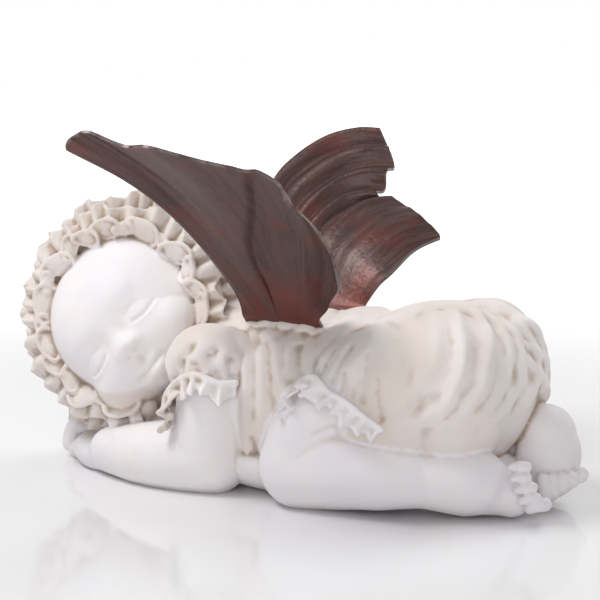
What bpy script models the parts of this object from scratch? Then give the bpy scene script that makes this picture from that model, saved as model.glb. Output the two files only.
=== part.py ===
"""Garden figure of a sleeping child with wings, lying prone with its cheek on its hands.

The child is one casting, modelled solid: head, bonnet, dress, arms and legs.
Each wing is a thin formed sheet whose straight root stands in a slot cut in the back.

X runs along the body, head at -X and feet at +X. The child's left side is -Y. Z is up.
"""
import bpy
import bmesh
import math
import numpy as np
from mathutils import Matrix, Vector

# Driving sizes, in metres
LENGTH = 0.280
SHEET = 0.0014
SLOT_GAP = 0.0003
SLOT_DEPTH = 0.009
ROOT_STAND = 0.0045
WING_ROOT = 0.040
WING_REACH = 0.118
VOXEL = 0.00125
FIGURE_TRIANGLES = 7200

# The pose is drawn for a figure 280 units long, and every unit of it is LENGTH / 280
UNIT = LENGTH / 280.0
SINK = 1.0

# The head sits in the middle of the bonnet and faces out of its opening. Its crown points away
# from the gap that the frill leaves under the chin.
HEAD = Vector((-88.5, 0.0, 71.0))
HEAD_FACE = Vector((0.10, -0.987, 0.13)).normalized()
HEAD_LEFT = Vector((-0.795, 0.0, 0.607)).cross(HEAD_FACE).normalized()
HEAD_CROWN = HEAD_FACE.cross(HEAD_LEFT).normalized()
HEAD_RADIUS = 43.0

# A small child's face by the common canon: the brow at half the head's height, four equal
# steps from there down to the chin, and a head five eyes wide
BROW = 2.0
FACE_STEP = HEAD_RADIUS / 4
EYE = HEAD_RADIUS * 2 / 5

# The bonnet's frill, a ring of pleats around the face
FRILL_CENTRE = Vector((-84.5, -20.0, 77.5))
FRILL_AXIS = HEAD_FACE
FRILL_INNER = 42.0
FRILL_OUTER = 56.0
FRILL_PLEATS = 36
FRILL_START = -56.0
FRILL_END = 232.0

# The wings' lean out from the level, and where the root's middle meets the back
LEFT_LEAN = 46.0
RIGHT_LEAN = 40.0
ROOT_X = 2.0
ROOT_Y = 19.0
ROOT_Z = 80.0


def material(name, colour, roughness, metallic):
    """Return a plain Principled material."""
    made = bpy.data.materials.new(name)
    made.use_nodes = True
    shader = made.node_tree.nodes["Principled BSDF"]
    shader.inputs["Base Color"].default_value = (*colour, 1.0)
    shader.inputs["Roughness"].default_value = roughness
    shader.inputs["Metallic"].default_value = metallic
    made.diffuse_color = (*colour, 1.0)
    return made


def bump(x, y, cx, cy, wide, tall):
    """Height of a soft round bump at (x, y)."""
    return np.exp(-0.5 * (((x - cx) / wide) ** 2 + ((y - cy) / tall) ** 2))


def smooth(low, high, value):
    """Ease from 0 at low to 1 at high."""
    t = np.clip((value - low) / (high - low), 0.0, 1.0)
    return t * t * (3.0 - 2.0 * t)


def mirrored(points):
    """The same points on the other side of the body."""
    return [Vector((p[0], -p[1], p[2])) for p in points]


def through(points, steps):
    """Points on a smooth line through the given ones."""
    knots = [Vector(p) for p in points]
    knots = [2 * knots[0] - knots[1]] + knots + [2 * knots[-1] - knots[-2]]
    line = []
    spans = len(knots) - 3
    for i in range(steps + 1):
        at = min(i * spans / steps, spans - 1e-6)
        k = int(at)
        t = at - k
        a, b, c, d = knots[k:k + 4]
        line.append(0.5 * (2 * b + (c - a) * t + (2 * a - 5 * b + 4 * c - d) * t * t
                           + (3 * b - a - 3 * c + d) * t ** 3))
    return line


def places(mesh):
    """A mesh's points and their normals, as two arrays."""
    at = np.empty(len(mesh.vertices) * 3, dtype=np.float32)
    mesh.vertices.foreach_get("co", at)
    out = np.empty(len(mesh.vertices) * 3, dtype=np.float32)
    mesh.vertices.foreach_get("normal", out)
    return at.reshape(-1, 3).astype(float), out.reshape(-1, 3).astype(float)


def set_places(mesh, at):
    """Move a mesh's points."""
    mesh.vertices.foreach_set("co", at.astype(np.float32).ravel())
    mesh.update()


def apply_modifiers(made):
    """Replace an object's mesh by its modified one."""
    bpy.context.view_layer.update()
    done = bpy.data.meshes.new_from_object(made.evaluated_get(
        bpy.context.evaluated_depsgraph_get()))
    made.modifiers.clear()
    old = made.data
    made.data = done
    bpy.data.meshes.remove(old)


def holder_of(bm, name):
    """Put a bmesh in an object of its own."""
    mesh = bpy.data.meshes.new(name)
    bm.to_mesh(mesh)
    bm.free()
    made = bpy.data.objects.new(name, mesh)
    bpy.context.scene.collection.objects.link(made)
    return made


def pour(bm, made):
    """Add a working object's modified mesh to a bmesh and remove the object."""
    apply_modifiers(made)
    bm.from_mesh(made.data)
    done = made.data
    bpy.data.objects.remove(made)
    bpy.data.meshes.remove(done)


def ball(bm, centre, radii, axes=None, detail=4):
    """Add an ellipsoid with the given axes."""
    axes = axes or (Vector((1, 0, 0)), Vector((0, 1, 0)), Vector((0, 0, 1)))
    made = bmesh.ops.create_icosphere(bm, subdivisions=detail, radius=1.0)
    turn = Matrix([axes[0] * radii[0], axes[1] * radii[1], axes[2] * radii[2]]).transposed()
    place = Matrix.Translation(Vector(centre)) @ turn.to_4x4()
    bmesh.ops.transform(bm, matrix=place, verts=made["verts"])
    if turn.determinant() < 0:
        faces = {face for vert in made["verts"] for face in vert.link_faces}
        bmesh.ops.reverse_faces(bm, faces=list(faces))


def limb(bm, points, radii, detail=3):
    """Add a rounded limb: a bevelled curve through the points with a ball at each end."""
    curve = bpy.data.curves.new("limb", "CURVE")
    curve.dimensions = "3D"
    curve.bevel_depth = 1.0
    curve.bevel_resolution = 10
    curve.resolution_u = 10
    curve.use_fill_caps = True
    spline = curve.splines.new("BEZIER")
    spline.bezier_points.add(len(points) - 1)
    for knot, point, radius in zip(spline.bezier_points, points, radii):
        knot.co = point
        knot.radius = radius
        knot.handle_left_type = "AUTO"
        knot.handle_right_type = "AUTO"
    holder = bpy.data.objects.new("limb", curve)
    bpy.context.scene.collection.objects.link(holder)
    bpy.context.view_layer.update()
    swept = bpy.data.meshes.new_from_object(holder.evaluated_get(
        bpy.context.evaluated_depsgraph_get()))
    bm.from_mesh(swept)
    bpy.data.objects.remove(holder)
    bpy.data.curves.remove(curve)
    bpy.data.meshes.remove(swept)
    for end, radius in ((points[0], radii[0]), (points[-1], radii[-1])):
        ball(bm, end, (radius,) * 3, detail=detail)


def plate(bm, grid, thick):
    """Add a closed plate of even thickness whose middle surface is a grid of points."""
    last = len(grid) - 1
    end = len(grid[0]) - 1
    sides = ([], [])
    for i, row in enumerate(grid):
        lines = ([], [])
        for j, point in enumerate(row):
            along = grid[min(i + 1, last)][j] - grid[max(i - 1, 0)][j]
            across = row[min(j + 1, end)] - row[max(j - 1, 0)]
            out = along.cross(across).normalized() * (thick / 2)
            lines[0].append(bm.verts.new(point + out))
            lines[1].append(bm.verts.new(point - out))
        sides[0].append(lines[0])
        sides[1].append(lines[1])
    top, low = sides
    for i in range(last):
        for j in range(end):
            bm.faces.new((top[i][j], top[i + 1][j], top[i + 1][j + 1], top[i][j + 1]))
            bm.faces.new((low[i][j + 1], low[i + 1][j + 1], low[i + 1][j], low[i][j]))
        bm.faces.new((low[i][0], low[i + 1][0], top[i + 1][0], top[i][0]))
        bm.faces.new((top[i][end], top[i + 1][end], low[i + 1][end], low[i][end]))
    for j in range(end):
        bm.faces.new((top[0][j], top[0][j + 1], low[0][j + 1], low[0][j]))
        bm.faces.new((low[last][j], low[last][j + 1], top[last][j + 1], top[last][j]))


def strip(bm, path, hang, face, width, wave, waves, curl=0.0, thick=2.0, lift=0.0):
    """Add a frilled band. It hangs from the path and waves toward and away from its face."""
    rows = []
    for i, point in enumerate(path):
        along = (path[min(i + 1, len(path) - 1)] - path[max(i - 1, 0)]).normalized()
        out = face(point, along).normalized()
        down = hang(point, along).normalized()
        turn = 2 * math.pi * waves * i / (len(path) - 1)
        row = []
        for j in range(5):
            v = j / 4
            place = point + down * (width * v * (1.0 + 0.12 * math.sin(turn * 0.37)))
            place += out * (lift + wave * math.sin(turn) * (0.25 + 0.75 * v))
            row.append(place + along * (curl * math.sin(2 * turn) * v))
        rows.append(row)
    plate(bm, rows, thick)


def blend(bm, masses, rounds, voxel=1.4, relief=None):
    """Add masses fused and softened into one skin. relief then moves it along its normals."""
    soft = bmesh.new()
    masses(soft)
    holder = holder_of(soft, "blend")
    fuse = holder.modifiers.new("Fuse", "REMESH")
    fuse.mode = "VOXEL"
    fuse.voxel_size = voxel
    soften = holder.modifiers.new("Soften", "SMOOTH")
    soften.factor = 0.5
    soften.iterations = int(rounds * (1.4 / voxel) ** 2)
    apply_modifiers(holder)
    if relief:
        at, out = places(holder.data)
        set_places(holder.data, at + out * relief(at)[:, None])
    pour(bm, holder)


def head_point(left, face, crown):
    """A point given in the head's own axes."""
    return HEAD + HEAD_LEFT * left + HEAD_FACE * face + HEAD_CROWN * crown


def face_relief(left, crown):
    """Height of a calm sleeping child's features, at places seen from the front."""
    side = np.abs(left)
    eyes = BROW - FACE_STEP
    nose = BROW - 2 * FACE_STEP
    mouth = BROW - 3 * FACE_STEP
    chin = BROW - 4 * FACE_STEP
    height = 2.6 * bump(side, crown, 1.3 * EYE, nose - 3.0, 10, 9)
    height += 1.4 * bump(left, crown, 0, eyes - 2.0, 3.4, 7)
    height += 4.0 * bump(left, crown, 0, nose + 3.8, 4.2, 3.6)
    height += 2.0 * bump(side, crown, 5.0, nose + 1.6, 2.3, 2.1)
    height -= 1.3 * bump(side, crown, 2.9, nose - 0.6, 1.3, 0.9)
    height -= 2.2 * bump(side, crown, EYE * 0.9, eyes + 2.0, 9, 5)
    height += 2.8 * bump(side, crown, EYE, eyes, 7.4, 4.2)
    lash = eyes - 2.6 + 0.022 * (side - EYE) ** 2
    height -= 1.5 * bump(side, crown, EYE, lash, 7.0, 0.75)
    height += 0.5 * bump(side, crown, EYE, lash - 1.6, 6.0, 0.8)
    height += 0.9 * bump(side, crown, EYE * 0.9, BROW + 2.0, 9, 3.5)
    line = mouth + 0.014 * left * left
    dip = 1.0 - 0.35 * np.exp(-0.5 * (left / 1.3) ** 2)
    height += 1.7 * dip * bump(left, crown, 0, line + 2.2, 5.6, 1.5)
    height += 2.1 * bump(left, crown, 0, line - 2.8, 5.0, 1.9)
    height -= 1.8 * bump(left, crown, 0, line, 7.6, 0.7)
    height -= 1.1 * bump(side, crown, 9.6, line + 0.5, 1.7, 1.7)
    height -= 0.5 * bump(left, crown, 0, line + 6.0, 1.2, 2.4)
    height -= 1.0 * bump(left, crown, 0, mouth - 6.4, 7.0, 1.6)
    height += 1.4 * bump(left, crown, 0, chin + 4.5, 7.0, 3.5)
    return height


def head(bm):
    """Add the head with its face, the bonnet's gathered cap and the neck."""
    axes = (HEAD_LEFT, HEAD_FACE, HEAD_CROWN)

    def skull(soft):
        low = HEAD_RADIUS - 2
        ball(soft, head_point(0, 0, 4), (HEAD_RADIUS, low, low), axes, 5)
        ball(soft, head_point(0, 11, -15), (34, 29, 24), axes, 5)
        for side in (-1, 1):
            ball(soft, head_point(side * 19, 21, -20), (14, 14, 14), axes)
        ball(soft, head_point(0, 26, -32), (10, 9, 8), axes)

    def features(at):
        reach = at - np.array(HEAD)
        front = smooth(6.0, 20.0, reach @ np.array(HEAD_FACE))
        return front * face_relief(reach @ np.array(HEAD_LEFT), reach @ np.array(HEAD_CROWN))

    cap_centre = FRILL_CENTRE - FRILL_AXIS * 28

    def cap(soft):
        ball(soft, cap_centre, (49, 45, 49), axes, 6)

    def gathers(at):
        reach = at - np.array(cap_centre)
        depth = reach @ np.array(HEAD_FACE)
        turn = np.arctan2(reach @ np.array(HEAD_CROWN), reach @ np.array(HEAD_LEFT))
        band = smooth(-46.0, -14.0, depth) * smooth(22.0, 4.0, depth)
        rim = np.sin(31 * turn + 1.4 * np.sin(3 * turn)) + 0.5 * np.sin(53 * turn + 2.0)
        puff = 0.8 * np.sin(9 * turn + 0.8)
        return band * (0.7 * rim * smooth(-30.0, 8.0, depth) + puff)

    blend(bm, skull, 10, 1.2, features)
    blend(bm, cap, 1, 1.4, gathers)
    limb(bm, [(-62, 2, 60), (-40, 0, 60), (-20, 0, 56)], [27, 25, 30])


def bonnet(bm):
    """Add the two tiers of pleats around the face and the ribbon inside them."""
    first = HEAD_LEFT - FRILL_AXIS * HEAD_LEFT.dot(FRILL_AXIS)
    first.normalize()
    second = first.cross(FRILL_AXIS)
    if second.dot(HEAD_CROWN) < 0:
        second = -second

    def spoke(turn):
        return first * math.cos(turn) + second * math.sin(turn)

    def ring(radius, back, steps):
        line = []
        for i in range(steps + 1):
            turn = math.radians(FRILL_START + (FRILL_END - FRILL_START) * i / steps)
            line.append(FRILL_CENTRE + spoke(turn) * radius - FRILL_AXIS * back)
        return line

    def outward(point, along):
        across = point - FRILL_CENTRE
        return across - FRILL_AXIS * across.dot(FRILL_AXIS) - FRILL_AXIS * 9.0

    def forward(point, along):
        return FRILL_AXIS

    steps = FRILL_PLEATS * 8
    band = FRILL_OUTER - FRILL_INNER
    strip(bm, ring(FRILL_INNER, -3.0, steps), outward, forward, band - 1.0, 2.4,
          FRILL_PLEATS, curl=0.8, thick=2.2)
    strip(bm, ring(FRILL_INNER + 4.0, 5.0, steps), outward, forward, band - 2.0, 2.2,
          FRILL_PLEATS + 3, curl=0.8, thick=2.2)
    limb(bm, ring(FRILL_INNER + 3.0, 3.5, 24), [6.5] * 25, 2)
    for turn, long, wide in ((20, 6, 3.4), (44, 8, 3.6), (68, 10, 4.2), (92, 11, 4.6),
                             (116, 8, 5.4), (140, 8, 5.0), (164, 7, 4.0), (188, 7, 3.6),
                             (-6, 6, 3.6), (-30, 7, 4.0)):
        angle = math.radians(turn)
        out = spoke(angle)
        along = out.cross(FRILL_AXIS)
        ball(bm, FRILL_CENTRE + out * (FRILL_INNER - 0.5) + FRILL_AXIS * 2.5,
             (long, wide, 3.2), (along, (out + FRILL_AXIS * 0.5).normalized(),
                                 (FRILL_AXIS - out * 0.5).normalized()), 3)


def near(at, path):
    """Distance of each place from a smooth path, and the share of the path that is nearest."""
    line = np.array([list(p) for p in path])
    best = np.full(len(at), 1e9)
    share = np.zeros(len(at))
    for i, point in enumerate(line):
        gap = np.linalg.norm(at - point, axis=1)
        closer = gap < best
        best[closer] = gap[closer]
        share[closer] = i / (len(line) - 1)
    return best, share


def fold_line(at, points, height, wide):
    """Height of one soft cloth fold that runs over the skin near a few points and dies out."""
    line = []
    for point in through(points, 40):
        place = np.array(point)
        line.append(at[np.argmin(np.sum((at - place) ** 2, axis=1))])
    gap, share = near(at, line)
    ends = smooth(0.0, 0.18, share) * smooth(1.0, 0.82, share)
    return height * np.exp(-(gap / wide) ** 2) * ends


def folds(at):
    """Height of the dress's folds: gathers down the bodice, long curved folds on the romper."""
    x, y, z = at.T
    run = x + 0.12 * (z - 40.0) + 2.0 * np.sin(z * 0.09)
    height = 0.5 * np.sin(run * 0.55) + 0.35 * np.sin(run * 0.83 + 1.3)
    height *= smooth(14.0, 30.0, np.abs(y)) * smooth(34.0, 22.0, x)
    shared = (([(73, -8, 94), (95, -29, 88), (101, -37, 79), (103, -43, 68), (97, -48, 55),
                (82, -50, 46)], 2.6, 4.4),
              ([(88, -20, 91), (100, -32, 84), (105, -37, 75), (105, -41, 66)], -1.6, 3.2),
              ([(92, -18, 91), (104, -25, 82), (110, -30, 72), (108, -39, 60), (97, -44, 42)],
               2.3, 4.0),
              ([(78, -25, 92), (86, -42, 81), (85, -48, 69), (78, -52, 60), (72, -54, 52)],
               -1.7, 4.6),
              ([(86, -50, 60), (84, -52, 52), (79, -50, 44)], 1.5, 3.4),
              ([(92, -48, 52), (88, -47, 44), (84, -44, 38)], -1.4, 2.6),
              ([(44, -24, 86), (60, -40, 80), (70, -50, 68), (68, -54, 56)], 1.0, 7.0),
              ([(30, -20, 82), (40, -42, 76), (50, -54, 66)], -0.8, 5.0),
              ([(24, -26, 76), (34, -44, 66), (36, -52, 58)], 1.1, 4.0),
              ([(-8, -24, 76), (2, -36, 66), (7, -42, 51), (12, -50, 37)], -1.5, 3.0),
              ([(2, -24, 76), (6, -36, 64), (15, -46, 51), (20, -54, 35)], 1.5, 3.0),
              ([(13, -26, 74), (15, -34, 66), (15, -42, 53)], -1.2, 2.6),
              ([(-18, -26, 74), (-8, -38, 60), (-4, -42, 40), (0, -42, 26)], 1.4, 3.4))
    rear = (([(85, 9, 92), (98, 7, 86), (107, 6, 76), (114, 4, 62)], 1.9, 4.4),
            ([(90, 13, 92), (103, 17, 85), (110, 17, 76), (115, 13, 66), (117, 3, 51)], 1.8, 4.4),
            ([(92, -4, 92), (104, -8, 82), (112, -10, 70), (112, -14, 56)], -1.3, 4.0))
    for points, rise, wide in shared:
        height += fold_line(at, points, rise, wide)
        height += fold_line(at, mirrored(points), rise * 0.8, wide)
    for points, rise, wide in rear:
        height += fold_line(at, points, rise, wide)
    return height


def dress(bm):
    """Add the bodice and romper, the puffed sleeves and their frilled hems."""

    def trunk(soft):
        ball(soft, (0, 0, 41), (58, 42, 44))
        ball(soft, (34, 0, 52), (30, 38, 36))
        lift = math.radians(16.0)
        tilted = (Vector((math.cos(lift), 0, math.sin(lift))), Vector((0, 1, 0)),
                  Vector((-math.sin(lift), 0, math.cos(lift))))
        ball(soft, (70, 0, 52), (47, 50, 41), tilted)
        for side in (-1, 1):
            ball(soft, (60, side * 29, 52), (37, 27, 33))
            ball(soft, (84, side * 20, 56), (31, 29, 36))

    def puffs(soft):
        for side in (-1, 1):
            ball(soft, (-30, side * 33, 61), (21, 18, 19))
            ball(soft, (-21, side * 28, 64), (14, 13, 13))

    def puckers(at):
        x, y, z = at.T
        return 0.9 * np.sin(x * 0.75 + z * 0.3) * smooth(72.0, 52.0, z)

    blend(bm, trunk, 30, 1.4, folds)
    blend(bm, puffs, 8, 1.4, puckers)
    cuff = [(-45, -42, 33), (-47, -45, 43), (-42, -48, 51), (-34, -50, 57), (-25, -51, 59),
            (-16, -49, 56), (-9, -45, 56)]
    hem = [(19, -45, 47), (25, -50, 58), (34, -53, 64), (44, -57, 59), (54, -60, 56),
           (63, -61, 50.5), (71, -59, 45)]
    for points, middle in ((cuff, Vector((-28, -32, 62))), (hem, Vector((52, -28, 48)))):
        for line in ([Vector(p) for p in points], mirrored(points)):
            centre = Vector((middle.x, math.copysign(middle.y, line[0].y), middle.z))

            def away(point, along, centre=centre):
                out = point - centre
                return out - along * out.dot(along)

            def down(point, along, away=away):
                fall = along.cross(away(point, along))
                return fall if fall.z < 0 else -fall

            waves = 7 if points is cuff else 8
            strip(bm, through(line, waves * 10), down, away, 7.5, 3.0, waves, curl=2.0,
                  thick=2.2, lift=1.0)
            limb(bm, through(line, 12), [2.6] * 13, 2)


def limbs(bm):
    """Add the arms folded under the head and the drawn-up legs, softened where they meet."""

    def masses(soft):
        limb(soft, [(-28, -30, 58), (-29, -32, 38), (-30, -31, 17)], [16.5, 17.5, 18.5])
        limb(soft, [(-30, -31, 17), (-46, -33, 16), (-64, -32, 14.5), (-88, -25, 12.5)],
             [18.5, 17.5, 15.5, 12])
        ball(soft, (-101, -17, 9), (20, 11.5, 9.5), (Vector((-0.85, 0.5, 0)).normalized(),
             Vector((0.5, 0.85, 0)).normalized(), Vector((0, 0, 1))))
        limb(soft, [(-28, 30, 58), (-35, 38, 38), (-40, 43, 17)], [16.5, 17.5, 18.5])
        limb(soft, [(-40, 43, 17), (-58, 38, 16), (-78, 28, 15), (-98, 14, 15)],
             [18.5, 17, 14.5, 11])
        for side in (-1, 1):
            limb(soft, [(76, side * 28, 52), (48, side * 34, 50), (30, side * 36, 40),
                        (21, side * 37, 20)], [20, 19.5, 19.5, 20])
            ball(soft, (48, side * 34, 40), (32, 17, 14))
        limb(soft, [(21, -37, 19), (42, -38, 21.5), (62, -38, 22), (80, -33, 20.5), (96, -24, 18.5)],
             [20, 20, 18.5, 15, 16.8])
        limb(soft, [(96, -24, 18.5), (108, -18, 15), (116, -14, 13)], [16.8, 14.5, 12])
        limb(soft, [(21, 37, 19), (44, 35, 20), (66, 31, 19.5), (90, 28, 18), (108, 24, 22)],
             [20, 19.5, 18.5, 15, 14.5])

    def creases(at):
        height = fold_line(at, [(33, -57, 37), (46, -58, 41), (60, -56, 42), (76, -48, 41)], -0.9, 1.5)
        height += fold_line(at, [(84, -48, 30), (87, -46, 22), (86, -44, 14)], -0.5, 2.0)
        return height + fold_line(at, [(-80, -38, 24), (-82, -38, 17), (-81, -36, 9)], -0.7, 1.4)

    blend(bm, masses, 7, 1.4, creases)


def digits(bm):
    """Add the fingers, the far foot's sole and all the toes."""
    for i in range(4):
        start = Vector((-108.0 + i * 3.4, -15.0 + i * 6.5, 7.5))
        limb(bm, [start, start + Vector((-9, 5, -0.5)), start + Vector((-15, 9, -2.5))],
             [4.6, 4.2, 3.6], 2)
    ball(bm, (-108, 7, 16), (14, 11, 8), (Vector((-0.85, -0.5, 0)).normalized(),
         Vector((-0.5, 0.85, 0)).normalized(), Vector((0, 0, 1))))
    for i in range(4):
        start = Vector((-115.0 - i * 1.2, -1.0 + i * 6.4, 17.5))
        limb(bm, [start, start + Vector((-9, -2.5, -1.5)), start + Vector((-12.5, -3.5, -10))],
             [4.8, 4.6, 4.0], 2)

    row = [(113.5, -16.5, 25.0), (115.5, -17.5, 20.5), (118.0, -17.5, 15.5), (120.0, -17.0, 10.0),
           (123.0, -13.5, 7.5)]
    tips = [(122.5, -13.0, 25.5), (123.5, -13.5, 21.0), (126.5, -12.0, 18.0), (128.5, -12.0, 12.5),
            (131.0, -9.0, 10.0)]
    for i, (base, tip) in enumerate(zip(row, tips)):
        size = 2.9 + 0.25 * i + (1.0 if i == 4 else 0.0)
        middle = (Vector(base) + Vector(tip)) / 2 + Vector((0.2, -0.8, 0.3))
        limb(bm, [base, middle, tip], [size, size, size * 0.9], 2)

    sole = (Vector((0.80, -0.60, 0.05)).normalized(), Vector((0.60, 0.80, 0.0)).normalized(),
            Vector((-0.05, 0.0, 1.0)).normalized())

    def foot(soft):
        ball(soft, (116.5, 18.5, 33), (14, 14.5, 14), sole)
        ball(soft, (119, 17, 24), (12, 16, 18), sole)
        ball(soft, (119, 17, 15), (10, 15, 12), sole)

    blend(bm, foot, 4)
    for i in range(5):
        along = Vector((119.5 + 3.2 * i, 7.0 + 4.1 * i, 0.0))
        low = 4.6 + 2.3 * i
        limb(bm, [along + Vector((-1.5, 1.0, low)), along + Vector((1.2, -0.8, low + 3.0)),
                  along + Vector((0.4, -0.3, 16.0 - 0.3 * i))],
             [2.9 - 0.1 * i, 2.7 - 0.1 * i, 2.5 - 0.08 * i], 2)


def underside(bm):
    """Add the casting's body under the head, chest and hips."""
    ball(bm, (-70, 4, 18), (40, 28, 20))
    ball(bm, (0, 0, 16), (50, 40, 18))
    ball(bm, (66, 0, 16), (46, 28, 18))


def back_ridges(bm):
    """Add the low uneven ridge that closes the back around each wing's root."""
    half = WING_ROOT / UNIT / 2
    for side in (-1, 1):
        line = []
        for i in range(17):
            share = i / 16
            line.append(Vector((ROOT_X + (share * 2 - 1) * (half + 2),
                                side * (ROOT_Y + 0.5 * math.sin(i * 2.4)),
                                ROOT_Z - 0.6 - 3.4 * (share * 2 - 1) ** 2
                                + 0.7 * math.sin(i * 3.9))))
        limb(bm, line, [3.0 + 0.5 * math.sin(i * 1.7) for i in range(17)], 2)


def face_outward(bm):
    """Turn a closed mesh's faces outward."""
    bm.normal_update()
    if bm.calc_volume(signed=True) < 0:
        bmesh.ops.reverse_faces(bm, faces=bm.faces)


def wing_frame(side):
    """The wing's root middle, its direction along the body, its leaf direction and its face."""
    lean = math.radians(LEFT_LEAN if side < 0 else RIGHT_LEAN)
    root = Vector((ROOT_X, side * ROOT_Y, ROOT_Z)) * UNIT
    leaf = Vector((0, side * math.cos(lean), math.sin(lean)))
    face = Vector((0, -side * math.sin(lean), math.cos(lean)))
    return root, Vector((1, 0, 0)), leaf, face


def wing_outline(side):
    """A wing's leading edge, rim and trailing edge, in shares of its root width and reach."""
    if side < 0:
        lead = [(-0.50, 0.0), (-0.48, 0.12), (-0.63, 0.41), (-0.76, 0.61), (-1.00, 0.78),
                (-1.44, 0.94)]
        rim = [(-1.44, 0.94), (-1.52, 0.96), (-1.555, 1.005), (-1.51, 1.05), (-1.39, 1.075),
               (-1.18, 1.08), (-0.80, 1.03), (-0.44, 1.055),
               (0.08, 0.97), (0.44, 0.92), (0.82, 0.83), (0.85, 0.75), (0.95, 0.70),
               (0.98, 0.57), (1.03, 0.45), (1.0, 0.316)]
        trail = [(0.50, 0.0), (0.64, 0.10), (0.85, 0.19), (1.0, 0.316)]
    else:
        lead = [(-0.50, 0.0), (-0.93, 0.20), (-1.34, 0.455), (-1.43, 0.675), (-1.28, 0.82),
                (-1.00, 0.945), (-0.66, 1.01), (-0.36, 1.03)]
        rim = [(-0.36, 1.03), (-0.16, 0.94), (0.0, 0.85), (0.02, 0.74), (0.02, 0.65),
               (0.24, 0.64), (0.53, 0.58), (0.82, 0.51), (1.04, 0.46), (1.09, 0.42)]
        trail = [(0.50, 0.0), (0.60, 0.10), (0.76, 0.18), (0.90, 0.32), (1.09, 0.42)]
    return [through([(x, h, 0.0) for x, h in edge], 60) for edge in (lead, rim, trail)]


def wing_place(side, outline, u, v):
    """A point of the wing's middle surface: u runs round the rim, v from the root outward."""
    root, along, leaf, face = wing_frame(side)
    lead, rim, trail = (edge[int(round(at * 60))] for edge, at in zip(outline, (v, u, v)))
    corner = outline[0][-1] * (1 - u) + outline[2][-1] * u
    flat = rim * v + lead * (1 - u) + trail * u - corner * v
    bend = math.sin(math.pi * v)
    fade = v * v * (3 - 2 * v)
    if side < 0:
        out = 1.8 * fade * math.sin(2 * math.pi * (3.5 * u + 0.1)) + 4.0 * bend
        out += 1.2 * float(smooth(0.58, 0.68, u) * smooth(0.2, 0.5, v))
    else:
        upper = float(smooth(0.6, 0.5, u))
        out = 2.2 * fade * math.sin(2 * math.pi * (7.0 * u + 0.2)) * upper
        out += 1.8 * fade * math.sin(2 * math.pi * 3.0 * u) * (1 - upper) + 5.0 * bend
        out += 1.5 * float(smooth(0.48, 0.54, u) * smooth(0.2, 0.5, v))
    return (root + along * (flat.x * WING_ROOT) + leaf * (flat.y * WING_REACH)
            + face * (out * UNIT))


def wing(name, side, finish, home):
    """Build a wing: a formed sheet, with a flat straight root that goes into the back."""
    root, along, leaf, face = wing_frame(side)
    outline = wing_outline(side)
    columns = 36
    rows = 7
    grid = []
    for i in range(columns + 1):
        u = i / columns
        across = along * ((u - 0.5) * WING_ROOT)
        line = [root + across - leaf * SLOT_DEPTH, root + across + leaf * ROOT_STAND]
        for j in range(1, rows + 1):
            line.append(wing_place(side, outline, u, j / rows))
        grid.append(line)
    bm = bmesh.new()
    plate(bm, grid, SHEET)
    face_outward(bm)
    mesh = bpy.data.meshes.new(name)
    bm.to_mesh(mesh)
    bm.free()
    mesh.materials.append(finish)
    made = bpy.data.objects.new(name, mesh)
    home.objects.link(made)
    return made


def slot_cutter(name, side, home):
    """Build the tool that cuts a wing's slot, a gap wider than the sheet all round."""
    root, along, leaf, face = wing_frame(side)
    bm = bmesh.new()
    made = bmesh.ops.create_cube(bm, size=1.0)
    deep = SLOT_DEPTH + SLOT_GAP
    above = 0.030
    for vert in made["verts"]:
        x, y, z = vert.co
        vert.co = (root + along * (x * (WING_ROOT + 2 * SLOT_GAP))
                   + face * (y * (SHEET + 2 * SLOT_GAP))
                   + leaf * (-deep + (z + 0.5) * (deep + above)))
    face_outward(bm)
    mesh = bpy.data.meshes.new(name)
    bm.to_mesh(mesh)
    bm.free()
    tool = bpy.data.objects.new(name, mesh)
    home.objects.link(tool)
    tool.hide_render = True
    tool.display_type = "WIRE"
    return tool


def keep_largest(bm):
    """Delete every shell but the one with most points, such as the skin of an inner void."""
    unseen = set(bm.verts)
    shells = []
    while unseen:
        seed = unseen.pop()
        shell = [seed]
        queue = [seed]
        while queue:
            for edge in queue.pop().link_edges:
                for vert in edge.verts:
                    if vert in unseen:
                        unseen.remove(vert)
                        shell.append(vert)
                        queue.append(vert)
        shells.append(shell)
    shells.sort(key=len)
    for shell in shells[:-1]:
        bmesh.ops.delete(bm, geom=shell, context="VERTS")


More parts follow.
